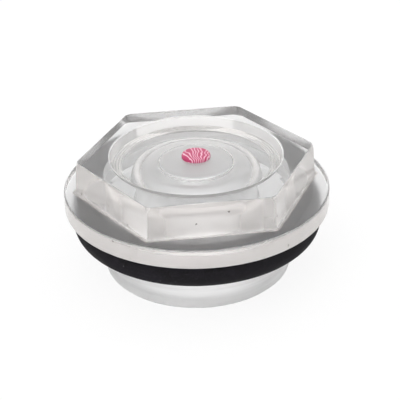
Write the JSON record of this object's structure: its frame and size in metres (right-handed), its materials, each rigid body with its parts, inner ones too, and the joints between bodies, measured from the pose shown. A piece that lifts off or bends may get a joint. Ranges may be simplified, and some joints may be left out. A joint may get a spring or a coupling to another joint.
{
  "type": "oil sight glass",
  "caption": "Clear plastic screw-in window with a hexagon head, a round flange, a rubber sealing ring and a red level dot, fitted in the wall of an oil tank or gearbox to show the oil level.",
  "frame": {"origin": "centre of the stub's end face, the lowest point of the part", "axes": "+Z along the axis from the stub's end to the head, +X through a corner of the hexagon"},
  "size_m": [0.038, 0.038, 0.0176],
  "materials": {
    "clear_plastic": "clear moulded plastic, polished head and window, frosted stub",
    "rubber": "matt black moulded rubber",
    "dot_red": "pinkish red, satin with pale streaks"
  },
  "bodies": {
    "root": {"sight_body": "clear_plastic", "seal_ring": "rubber", "level_dot": "dot_red"}
  },
  "joints": []
}
